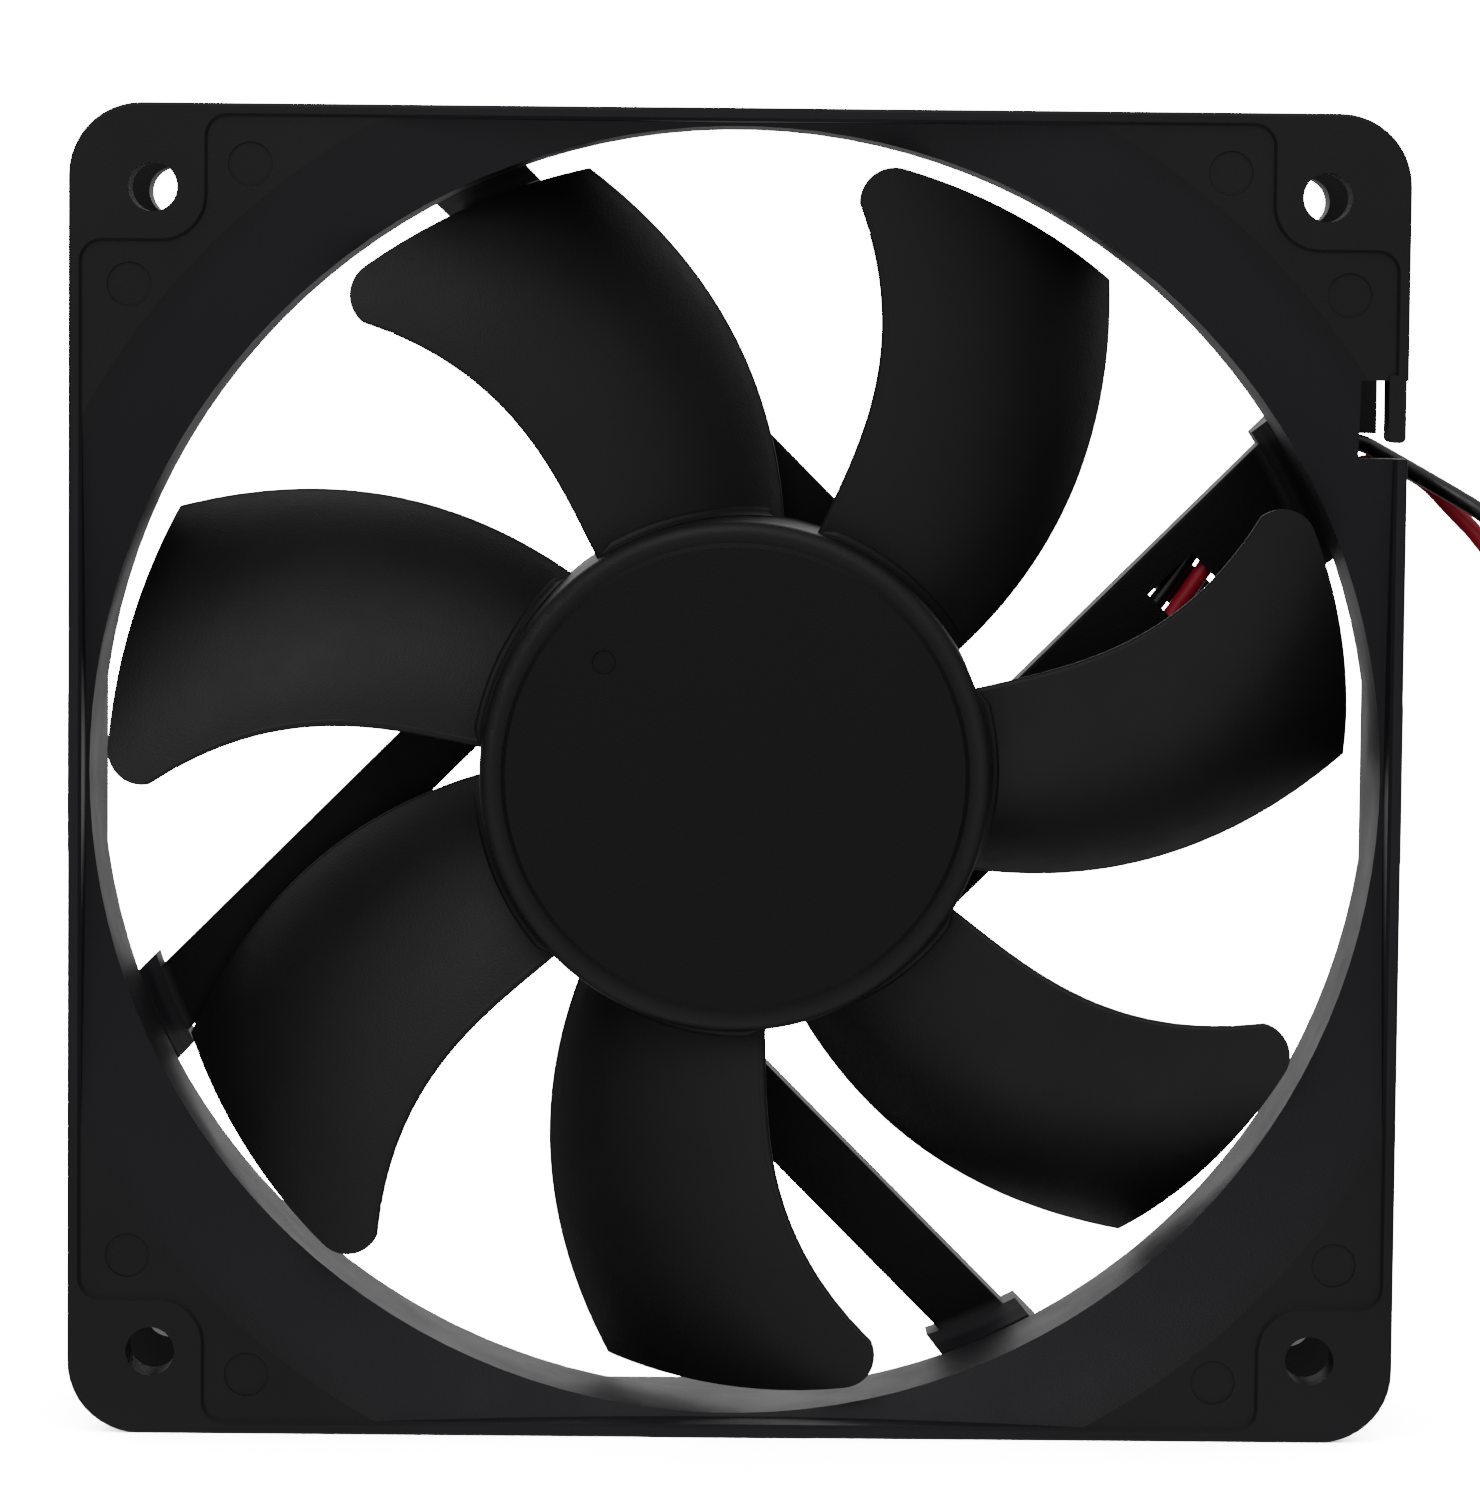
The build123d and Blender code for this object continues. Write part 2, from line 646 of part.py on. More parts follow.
def tube_along(points, label, share=0.45):
    """A round wire along straight runs joined by arcs as large as the runs allow."""
    runs = [(b - a).length for a, b in zip(points, points[1:])]
    radii = []
    for k in range(1, len(points) - 1):
        before = points[k] - points[k - 1]
        after = points[k + 1] - points[k]
        turn = math.radians(before.get_angle(after))
        radii.append(share * min(runs[k - 1], runs[k]) / math.tan(turn / 2))
    path = FilletPolyline(*points, radius=radii)
    start = Plane(origin=path @ 0, z_dir=path % 0)
    solid = sweep(start * Circle(WIRE / 2), path)
    ideal = math.pi * (WIRE / 2) ** 2 * path.length
    print(label, "length %.1f" % path.length, "volume ratio %.4f" % (solid.volume / ideal))
    print(label, "runs", [round(run, 1) for run in runs], "radii", [round(r, 1) for r in radii])
    return solid


# The inner leads, from the board along the wide strut to the side of the duct.
RED_INNER = [
    strut_point(3.5, 17.2, WIRE_Z),
    strut_point(16.6, 21.2, WIRE_Z),
    strut_point(38.0, 19.1, WIRE_Z),
    strut_point(48.5, 17.0, WIRE_Z),
    strut_point(57.2, 19.6, WIRE_Z),
]
BLACK_INNER = [
    strut_point(3.5, 15.0, WIRE_Z),
    strut_point(17.0, 19.0, WIRE_Z),
    strut_point(38.0, 17.3, WIRE_Z),
    strut_point(48.5, 15.0, WIRE_Z),
    strut_point(57.6, 17.5, WIRE_Z),
]
SOLDER_PLACES = [(2.7, 16.95), (2.7, 14.75)]

# The free leads: out of the strut, past the notch, down to the floor and into the coil.
LAYER_1 = FLOOR_Z + 0.5 * WIRE
LAYER_2 = FLOOR_Z + 1.5 * WIRE
LAYER_3 = FLOOR_Z + 2.5 * WIRE
LAYER_4 = FLOOR_Z + 3.5 * WIRE
PLUG_Z = FLOOR_Z + PLUG_TALL / 2
RED_ROUTE = [
    standing(RED_INNER[-1]),
    standing(beyond(RED_INNER, FIRST_RUN)),
    Vector(61.2, 9.2, 28.0),
    Vector(64.8, 6.8, 26.4),
    Vector(69.2, 4.8, 21.4),
    Vector(74.4, 3.8, 13.6),
    Vector(79.0, 4.2, 4.2),
    Vector(82.6, 5.0, -7.0),
    Vector(85.0, 6.0, -20.0),
    Vector(86.4, 7.4, -33.0),
    Vector(87.4, 9.2, -43.0),
    Vector(88.4, 9.4, -49.8),
    Vector(88.9, 8.6, -54.4),
    Vector(89.0, 5.6, -58.0),
    Vector(89.0, 1.4, LAYER_1),
    Vector(89.01, -2.0, LAYER_1),
]
BLACK_ROUTE = [
    standing(BLACK_INNER[-1]),
    standing(beyond(BLACK_INNER, FIRST_RUN)),
    Vector(60.0, 8.1, 30.2),
    Vector(63.0, 5.2, 27.3),
    Vector(69.0, 2.6, 24.0),
    Vector(75.6, 1.6, 17.6),
    Vector(80.6, 1.8, 8.6),
    Vector(83.8, 2.6, -3.0),
    Vector(85.8, 3.8, -16.0),
    Vector(87.2, 5.2, -29.0),
    Vector(88.0, 6.8, -40.6),
    Vector(88.4, 7.5, -49.0),
    Vector(88.7, 6.9, -53.2),
    Vector(88.9, 4.6, -56.2),
    Vector(89.0, 1.0, LAYER_2),
    Vector(89.01, -2.0, LAYER_2),
]

# The tails, from the coil to the plug.
RED_TAIL = [
    Vector(98.6, -10.6, LAYER_3),
    Vector(103.0, -10.6, LAYER_3 - 0.2),
    Vector(109.0, -10.7, -57.0),
    Vector(114.0, -9.0, PLUG_Z),
    Vector(116.6, -5.4, PLUG_Z),
    Vector(PLUG_X + PLUG_PITCH / 2, -1.6, PLUG_Z),
    Vector(PLUG_X + PLUG_PITCH / 2 + 0.01, CONTACT_Y[0], PLUG_Z),
]
BLACK_TAIL = [
    Vector(98.6, -10.6, LAYER_4),
    Vector(102.6, -10.5, LAYER_4),
    Vector(107.6, -9.6, -55.6),
    Vector(111.6, -7.4, -57.2),
    Vector(113.8, -4.2, PLUG_Z),
    Vector(PLUG_X - PLUG_PITCH / 2, -1.4, PLUG_Z),
    Vector(PLUG_X - PLUG_PITCH / 2 - 0.01, CONTACT_Y[0], PLUG_Z),
]


def make_leads():
    """The two leads, inner and free, their solder joints, and the coil with its tie."""
    pieces = {}
    red = tube_along(RED_INNER, "red inner")
    black = tube_along(BLACK_INNER, "black inner")
    pieces["lead_red_inner"] = stand(red)
    pieces["lead_black_inner"] = stand(black)
    joints = []
    for (u, n), wire in zip(SOLDER_PLACES, (red, black)):
        place = strut_point(u, n, 0)
        tall = BOARD_Z[0] - SOLDER_LOW
        cone = Pos(place.X, place.Y, SOLDER_LOW + tall / 2) * Cone(SOLDER_TIP, SOLDER_RADIUS, tall)
        joints.append(cone - wire)
    pieces["lead_solder"] = stand(Compound(joints))

    centre = Pos(COIL_CENTRE[0], COIL_CENTRE[1], 0)
    low = FLOOR_Z
    high = FLOOR_Z + COIL_LAYERS * WIRE
    inside = COIL_END_RADIUS - WIRE / 2
    outside = COIL_START_RADIUS + WIRE / 2
    coil = centre * ring(outside, inside, low, high)
    tie_inside = inside - TIE_GAP
    tie_outside = outside + TIE_GAP
    tie = block(
        -TIE_WIDTH / 2, TIE_WIDTH / 2, tie_inside - TIE_THICK, tie_outside + TIE_THICK,
        low, high + TIE_GAP + TIE_THICK,
    )
    tie -= block(-TIE_WIDTH, TIE_WIDTH, tie_inside, tie_outside, low + TIE_THICK / 2, high + TIE_GAP)
    tie = centre * tie
    coil -= tie
    pieces["lead_tie"] = tie
    pieces["lead_coil"] = coil
    pieces["lead_red"] = tube_along(RED_ROUTE, "red free")
    pieces["lead_black"] = tube_along(BLACK_ROUTE, "black free")
    pieces["lead_red_tail"] = tube_along(RED_TAIL, "red tail")
    pieces["lead_black_tail"] = tube_along(BLACK_TAIL, "black tail")
    return pieces


def make_plug():
    """A generic two-way plug housing with its two contacts, lying on the floor."""
    half = PLUG_WIDTH / 2
    body = block(PLUG_X - half, PLUG_X + half, *PLUG_Y, FLOOR_Z, FLOOR_Z + PLUG_TALL)
    body = fillet(body.edges().filter_by(Axis.Y), PLUG_ROUND)
    rib_width, rib_height = PLUG_RIB
    top = FLOOR_Z + PLUG_TALL
    contacts = []
    for side in (-1, 1):
        x = PLUG_X + side * PLUG_PITCH / 2
        left = x - rib_width / 2
        right = x + rib_width / 2
        body += block(left, right, PLUG_RIB_START, PLUG_Y[1] - 0.5, top - 0.2, top + rib_height)
        reach = PLUG_CAVITY / 2
        body -= block(x - reach, x + reach, -5, 15, PLUG_Z - reach, PLUG_Z + reach)
        side_out = CONTACT_SIDE / 2
        side_in = side_out - CONTACT_WALL
        contact = block(x - side_out, x + side_out, *CONTACT_Y, PLUG_Z - side_out, PLUG_Z + side_out)
        contact -= block(x - side_in, x + side_in, CONTACT_Y[0] + 2, 15, PLUG_Z - side_in, PLUG_Z + side_in)
        contacts.append(contact)
    return {"connector_housing": body, "connector_contacts": Compound(contacts)}


def main():
    os.makedirs("parts", exist_ok=True)
    pieces = {"frame": make_frame(), "impeller": make_impeller()}

    pieces["rotor_yoke"] = make_yoke()
    pieces["magnet_ring"] = ring(HUB_INNER - YOKE_THICK, MAGNET_INNER, *MAGNET_Z)
    pieces["shaft"] = make_shaft()
    pieces["shaft_clip"] = make_clip()
    pieces["shaft_washer"] = ring(WASHER_RADIUS, SHAFT_RADIUS, CLIP_Z[1], REAR_BEARING_Z)
    pieces["preload_spring"] = make_spring()
    pieces["bearing_tube"] = make_tube()
    for name, z in (("front", FRONT_BEARING_Z), ("rear", REAR_BEARING_Z)):
        for piece, shape in bearing_pieces().items():
            pieces["bearing_%s_%s" % (name, piece)] = Pos(0, 0, z) * shape

    pieces["stator_core"] = make_core()
    pins = pin_boxes(PIN_SIDE)
    pieces["insulator_front"] = Pos(0, 0, CORE_Z[1]) * make_insulator()
    rear_plate = Pos(0, 0, CORE_Z[0]) * mirror(make_insulator(), Plane.XY)
    for pin in pins:
        rear_plate -= pin
    pieces["insulator_rear"] = rear_plate
    pieces["terminal_pins"] = Compound(pins)
    for k, winding in enumerate(around(POLE_COUNT, make_winding())):
        pieces["winding_%d" % (k + 1)] = winding

    pieces["circuit_board"] = make_board()
    low, high = CHIP_HEIGHTS
    chip = block(*CHIP_RADIAL, -CHIP_HALF, CHIP_HALF, BOARD_FRONT + low, BOARD_FRONT + high)
    pieces["driver_chip"] = Rot(0, 0, CHIP_ANGLE) * chip
    pieces["chip_leads"] = chip_leads()
    pieces["hall_sensor"] = on_board(45.0, 18.4, 3.0, 4.0, 0.5, 2.0)
    pieces["capacitor"] = on_board(135.0, 13.0, 3.2, 2.5, 0.0, 1.6)
    pieces["diode"] = on_board(315.0, 13.5, 4.3, 2.6, 0.0, 2.0)
    resistors = [on_board(angle, 18.0, 1.25, 2.0, 0.0, 0.55) for angle in (200.0, 250.0)]
    pieces["resistors"] = Compound(resistors)
    pieces["rear_label"] = disc(LABEL_RADIUS, BASE_FLOOR[0] - LABEL_THICK, BASE_FLOOR[0])
    pieces = {name: stand(shape) for name, shape in pieces.items()}
    pieces.update(make_leads())
    pieces.update(make_plug())
    for name, shape in pieces.items():
        export_step(shape, "parts/%s.step" % name)


main()
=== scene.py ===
import json
import math

import bpy
from mathutils import Matrix, Vector
from mathutils.bvhtree import BVHTree


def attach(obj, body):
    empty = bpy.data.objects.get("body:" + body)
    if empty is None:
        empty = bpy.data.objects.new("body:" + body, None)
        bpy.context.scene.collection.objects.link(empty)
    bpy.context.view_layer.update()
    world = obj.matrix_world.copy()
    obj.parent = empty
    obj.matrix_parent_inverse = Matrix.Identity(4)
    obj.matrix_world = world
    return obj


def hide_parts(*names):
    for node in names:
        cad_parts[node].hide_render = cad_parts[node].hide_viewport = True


# A 120 mm case fan: materials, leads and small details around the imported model.
# Lengths are in metres, except the camera's place and the leads' routes, which are in millimetres.

MM = 0.001
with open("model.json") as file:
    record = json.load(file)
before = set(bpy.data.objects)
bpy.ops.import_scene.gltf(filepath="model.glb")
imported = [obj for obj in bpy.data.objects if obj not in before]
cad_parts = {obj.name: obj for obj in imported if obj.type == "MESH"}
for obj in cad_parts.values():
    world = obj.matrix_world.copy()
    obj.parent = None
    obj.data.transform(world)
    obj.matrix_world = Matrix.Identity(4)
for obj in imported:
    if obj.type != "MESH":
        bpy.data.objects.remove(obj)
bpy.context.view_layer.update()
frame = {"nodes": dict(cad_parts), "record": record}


# ---- Camera ----

CAMERA_PLACE = Vector((-2.293, -551.78, 42.23)) * MM
CAMERA_PITCH = 0.07343
CAMERA_YAW = -0.00499
CAMERA_ROLL = 0.009233
CAMERA_LENS = 144.4
SENSOR_WIDTH = 36.0
NEAREST_SEEN = 0.01
FARTHEST_SEEN = 50.0


def add_camera():
    """The camera in front of the fan, a little above its middle, looking slightly down."""
    data = bpy.data.cameras.new("camera")
    data.lens = CAMERA_LENS
    data.sensor_width = SENSOR_WIDTH
    data.clip_start = NEAREST_SEEN
    data.clip_end = FARTHEST_SEEN
    camera = bpy.data.objects.new("camera", data)
    bpy.context.collection.objects.link(camera)
    level = Matrix(((1, 0, 0), (0, 0, -1), (0, 1, 0)))
    turn = Matrix.Rotation(CAMERA_ROLL, 3, "Z") @ Matrix.Rotation(CAMERA_YAW, 3, "Y")
    turn = turn @ Matrix.Rotation(CAMERA_PITCH, 3, "X") @ level
    right, down, forward = turn.row
    axes = Matrix((right, -down, -forward)).transposed()
    camera.matrix_world = Matrix.Translation(CAMERA_PLACE) @ axes.to_4x4()
    bpy.context.scene.camera = camera


add_camera()


# ---- Free leads ----

WIRE = 1.6
WIRE_ROUNDNESS = 6
WIRE_STEPS = 8
FLOOR_Z = -60.0

# The coil's turns run inwards in a low layer, rise, and run outwards in a higher one
COIL_CENTRE = (99.6, 0.0)
COIL_START_RADIUS = 10.6
COIL_END_RADIUS = 8.2
COIL_IN_TURNS = 1.5
COIL_RISE_TURNS = 0.25
COIL_OUT_TURNS = 1.5
COIL_STEPS = 16

# Height of each layer of turns in the coil, from the floor up
LAYER_1 = FLOOR_Z + 0.5 * WIRE
LAYER_2 = FLOOR_Z + 1.5 * WIRE
LAYER_3 = FLOOR_Z + 2.5 * WIRE
LAYER_4 = FLOOR_Z + 3.5 * WIRE

PLUG_X = 115.5
PLUG_PITCH = 2.54
PLUG_Z = FLOOR_Z + 2.4
CONTACT_Y = 1.0

# Each route runs from the frame to the coil, and each tail from the coil to the plug
RED_ROUTE = [
    (54.3, 9.75, 26.59),
    (57.0, 9.3, 28.05),
    (60.2, 7.9, 28.6),
    (63.73, 6.5, 27.06),
    (66.4, 5.75, 24.1),
    (69.0, 5.0, 21.5),
    (74.4, 3.8, 13.6),
    (79.0, 4.2, 4.2),
    (82.6, 5.0, -7.0),
    (85.0, 6.0, -20.0),
    (86.4, 7.4, -33.0),
    (87.4, 9.2, -43.0),
    (88.4, 9.4, -49.8),
    (88.9, 8.6, -54.4),
    (89.0, 5.6, -58.0),
    (89.0, 1.4, LAYER_1),
]
BLACK_ROUTE = [
    (53.1, 9.75, 28.35),
    (54.4, 9.6, 29.05),
    (57.1, 7.75, 30.75),
    (60.1, 6.3, 29.07),
    (64.88, 3.6, 26.29),
    (69.6, 2.1, 23.5),
    (75.6, 1.6, 17.6),
    (80.6, 1.8, 8.6),
    (83.8, 2.6, -3.0),
    (85.8, 3.8, -16.0),
    (87.2, 5.2, -29.0),
    (88.0, 6.8, -40.6),
    (88.4, 7.5, -49.0),
    (88.7, 6.9, -53.2),
    (88.9, 4.6, -56.2),
    (89.0, 1.0, LAYER_2),
]
RED_TAIL = [
    (103.0, -10.6, LAYER_3 - 0.2),
    (109.0, -10.7, -57.0),
    (114.0, -9.0, PLUG_Z),
    (116.6, -5.4, PLUG_Z),
    (PLUG_X + PLUG_PITCH / 2, -1.6, PLUG_Z),
    (PLUG_X + PLUG_PITCH / 2, CONTACT_Y, PLUG_Z),
]
BLACK_TAIL = [
    (102.6, -10.5, LAYER_4),
    (107.6, -9.6, -55.6),
    (111.6, -7.4, -57.2),
    (113.8, -4.2, PLUG_Z),
    (PLUG_X - PLUG_PITCH / 2, -1.4, PLUG_Z),
    (PLUG_X - PLUG_PITCH / 2, CONTACT_Y, PLUG_Z),
]


def coil_turns(low_layer, high_layer):
    """Points of one wire's turns, a little wide because the spline runs inside its points."""
    total = COIL_IN_TURNS + COIL_RISE_TURNS + COIL_OUT_TURNS
    pitch = (COIL_START_RADIUS - COIL_END_RADIUS) / COIL_IN_TURNS
    widen = math.cos(math.pi / COIL_STEPS) ** -0.5
    points = []
    count = int(total * COIL_STEPS)
    for k in range(1, count):
        turns = total * k / count
        inward = min(turns, COIL_IN_TURNS)
        outward = max(0.0, turns - COIL_IN_TURNS - COIL_RISE_TURNS)
        rise = min(1.0, max(0.0, (turns - COIL_IN_TURNS) / COIL_RISE_TURNS))
        radius = (COIL_START_RADIUS - pitch * inward + pitch * outward) * widen
        angle = math.pi + 2 * math.pi * turns
        x = COIL_CENTRE[0] + radius * math.cos(angle)
        y = COIL_CENTRE[1] + radius * math.sin(angle)
        points.append((x, y, low_layer + (high_layer - low_layer) * rise))
    return points


def add_wire(name, points):
    """A round wire along a smooth spline of control points, with its radius set at each point."""
    curve = bpy.data.curves.new(name, "CURVE")
    curve.dimensions = "3D"
    curve.bevel_depth = 1.0
    curve.bevel_resolution = WIRE_ROUNDNESS
    curve.use_fill_caps = True
    spline = curve.splines.new("NURBS")
    spline.points.add(len(points) - 1)
    for target, point in zip(spline.points, points):
        target.co = (point[0] * MM, point[1] * MM, point[2] * MM, 1.0)
        target.radius = WIRE / 2 * MM
    spline.order_u = 3
    spline.use_endpoint_u = True
    spline.resolution_u = WIRE_STEPS
    wire = bpy.data.objects.new(name, curve)
    bpy.context.collection.objects.link(wire)
    return wire


red_wire = add_wire("wire_red_free", RED_ROUTE + coil_turns(LAYER_1, LAYER_3) + RED_TAIL)
black_wire = add_wire("wire_black_free", BLACK_ROUTE + coil_turns(LAYER_2, LAYER_4) + BLACK_TAIL)
for wire, route, nodes, carried in (
    (red_wire, RED_ROUTE, ("lead_red", "lead_red_tail", "lead_coil"), ["connector_housing", "lead_tie"]),
    (black_wire, BLACK_ROUTE, ("lead_black", "lead_black_tail", "lead_coil"), ["connector_contacts"]),
):
    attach(wire, "frame_assembly")
    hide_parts(*nodes)


# ---- Materials ----

class Graph:
    """A small helper that builds a node material."""

    def __init__(self, name):
        """Starts a material whose patterns are placed by the object's own coordinates."""
        self.material = bpy.data.materials.new(name)
        self.material.use_nodes = True
        self.nodes = self.material.node_tree.nodes
        self.links = self.material.node_tree.links
        self.shader = self.nodes["Principled BSDF"]
        self.place = self.nodes.new("ShaderNodeTexCoord").outputs["Object"]

    def set(self, **values):
        """Sets constant values of the shader, with underscores for spaces in their names."""
        for key, value in values.items():
            self.shader.inputs[key.replace("_", " ")].default_value = value

    def noise(self, scale, detail=3.0, roughness=0.5, stretch=(1, 1, 1)):
        """Smooth irregular noise between zero and one."""
        mapping = self.nodes.new("ShaderNodeMapping")
        mapping.inputs["Scale"].default_value = stretch
        self.links.new(self.place, mapping.inputs["Vector"])
        node = self.nodes.new("ShaderNodeTexNoise")
        node.inputs["Scale"].default_value = scale
        node.inputs["Detail"].default_value = detail
        node.inputs["Roughness"].default_value = roughness
        self.links.new(mapping.outputs["Vector"], node.inputs["Vector"])
        return node.outputs["Fac"]

    def cell_edges(self, scale):
        """Distance to the nearest border between irregular cells."""
        node = self.nodes.new("ShaderNodeTexVoronoi")
        node.feature = "DISTANCE_TO_EDGE"
        node.inputs["Scale"].default_value = scale
        self.links.new(self.place, node.inputs["Vector"])
        return node.outputs["Distance"]

    def span(self, value, low, high, from_low=0.3, from_high=0.7):
        """Stretches a value's range to run from low to high."""
        node = self.nodes.new("ShaderNodeMapRange")
        node.inputs["From Min"].default_value = from_low
        node.inputs["From Max"].default_value = from_high
        node.inputs["To Min"].default_value = low
        node.inputs["To Max"].default_value = high
        self.links.new(value, node.inputs["Value"])
        return node.outputs["Result"]

    def blend(self, factor, first, second):
        """Mixes two colours, each given as numbers or as the output of a node."""
        node = self.nodes.new("ShaderNodeMix")
        node.data_type = "RGBA"
        self.links.new(factor, node.inputs["Factor"])
        for socket, colour in ((node.inputs["A"], first), (node.inputs["B"], second)):
            if isinstance(colour, tuple):
                socket.default_value = (*colour, 1.0)
            else:
                self.links.new(colour, socket)
        return node.outputs["Result"]

    def inside_radius(self, full, none):
        """One within the first distance of the fan's axis, fading to zero at the second."""
        flat = self.nodes.new("ShaderNodeVectorMath")
        flat.operation = "MULTIPLY"
        flat.inputs[1].default_value = (1.0, 0.0, 1.0)
        self.links.new(self.place, flat.inputs[0])
        length = self.nodes.new("ShaderNodeVectorMath")
        length.operation = "LENGTH"
        self.links.new(flat.outputs["Vector"], length.inputs[0])
        return self.span(length.outputs["Value"], 1.0, 0.0, full, none)

    def colour(self, value):
        """Takes the shader's colour from a node."""
        self.links.new(value, self.shader.inputs["Base Color"])

    def roughness(self, value):
        """Takes the shader's roughness from a node."""
        self.links.new(value, self.shader.inputs["Roughness"])

    def bump(self, value, distance):
        """Raises the surface by up to a distance in metres."""
        node = self.nodes.new("ShaderNodeBump")
        node.inputs["Distance"].default_value = distance
        node.inputs["Strength"].default_value = 1.0
        self.links.new(value, node.inputs["Height"])
        self.links.new(node.outputs["Normal"], self.shader.inputs["Normal"])


# How fine each pattern is, in repeats for each metre
PLASTIC_TONE = 55.0
PLASTIC_GLOSS = 140.0
PLASTIC_GRAIN = 5200.0
METAL_GLOSS = 300.0
METAL_MARKS = 900.0
JACKET_TONE = 260.0
JACKET_GLOSS = 700.0
JACKET_MARKS = 2600.0
WINDING_TURNS = 1500.0
WINDING_GLOSS = 500.0
BOARD_TRACKS = 420.0
BOARD_GLOSS = 700.0
FLOOR_TONE = 3.0

# How deep each pattern's relief is
GRAIN_DEPTH = 0.00003
MARK_DEPTH = 0.000004
JACKET_DEPTH = 0.00001
WINDING_DEPTH = 0.00006
TRACK_DEPTH = 0.00002

# How far the roughness varies on either side of its middle value
PLASTIC_SPREAD = 0.05
METAL_SPREAD = 0.07
JACKET_SPREAD = 0.08

# Distances from the axis over which each zone of the plastic fades out, from the outside in. The zones
# are painted light and shade: painted light on the frame's flare and bore wall, painted light on the
# strut root pads, painted shade on the struts and motor mount, and painted shade on the hub's front face
# inside its rim.
FLARE_PAINTED_LIGHT_EDGE = (0.0645, 0.067)
ROOT_PAINTED_LIGHT_EDGE = (0.0576, 0.058)
STRUT_PAINTED_SHADE_EDGE = (0.0561, 0.0571)
HUB_PAINTED_SHADE_EDGE = (0.0212, 0.0222)


def moulded_plastic(name, dark, light, rough, specular=0.5, painted_light_zones=()):
    """Fine-grained moulded plastic with slow changes of tone and gloss, with painted light and shade
    blended into the colour in rings round the axis.
    """
    graph = Graph(name)
    tone = graph.span(graph.noise(PLASTIC_TONE, 4.0), 0.0, 1.0)
    colour = graph.blend(tone, dark, light)
    # Each ring blends a painted light or painted shade colour over the plastic's own tone
    for edge, painted_colour in painted_light_zones:
        colour = graph.blend(graph.inside_radius(*edge), colour, painted_colour)
    graph.colour(colour)
    patches = graph.noise(PLASTIC_GLOSS, 5.0, 0.6)
    graph.roughness(graph.span(patches, rough - PLASTIC_SPREAD, rough + PLASTIC_SPREAD))
    graph.bump(graph.noise(PLASTIC_GRAIN, 2.0, 0.6), GRAIN_DEPTH)
    graph.set(Specular_IOR_Level=specular)
    return graph.material


def metal(name, dark, light, rough, stretch=(1, 1, 1), scale=METAL_MARKS, depth=MARK_DEPTH):
    """Metal with fine machining or rolling marks."""
    graph = Graph(name)
    marks = graph.noise(scale, 3.0, 0.6, stretch)
    graph.colour(graph.blend(graph.span(marks, 0.0, 1.0), dark, light))
    patches = graph.noise(METAL_GLOSS, 4.0)
    graph.roughness(graph.span(patches, rough - METAL_SPREAD, rough + METAL_SPREAD))
    graph.bump(marks, depth)
    graph.set(Metallic=1.0)
    return graph.material


def wire_jacket(name, dark, light, rough, specular):
    """Soft extruded insulation, with faint handling marks."""
    graph = Graph(name)
    tone = graph.span(graph.noise(JACKET_TONE, 4.0), 0.0, 1.0)
    graph.colour(graph.blend(tone, dark, light))
    patches = graph.noise(JACKET_GLOSS, 3.0)
    graph.roughness(graph.span(patches, rough - JACKET_SPREAD, rough + JACKET_SPREAD))
    graph.bump(graph.noise(JACKET_MARKS, 2.0), JACKET_DEPTH)
    graph.set(Specular_IOR_Level=specular)
    return graph.material


def copper_winding(name):
    """Many turns of thin enamelled wire, side by side across the pole."""
    graph = Graph(name)
    rows = graph.nodes.new("ShaderNodeTexWave")
    rows.wave_type = "BANDS"
    rows.bands_direction = "DIAGONAL"
    rows.inputs["Scale"].default_value = WINDING_TURNS
    rows.inputs["Distortion"].default_value = 0.6
    graph.links.new(graph.place, rows.inputs["Vector"])
    tone = graph.span(rows.outputs["Fac"], 0.0, 1.0, 0.1, 0.9)
    graph.colour(graph.blend(tone, (0.2, 0.07, 0.03), (0.62, 0.27, 0.12)))
    graph.roughness(graph.span(graph.noise(WINDING_GLOSS), 0.22, 0.36))
    graph.bump(rows.outputs["Fac"], WINDING_DEPTH)
    graph.set(Metallic=0.85)
    return graph.material


def board_laminate(name):
    """Green solder mask over faint copper tracks."""
    graph = Graph(name)
    edge = graph.span(graph.cell_edges(BOARD_TRACKS), 1.0, 0.0, 0.05, 0.1)
    graph.colour(graph.blend(edge, (0.012, 0.09, 0.035), (0.03, 0.17, 0.06)))
    graph.roughness(graph.span(graph.noise(BOARD_GLOSS), 0.28, 0.42))
    graph.bump(edge, TRACK_DEPTH)
    return graph.material


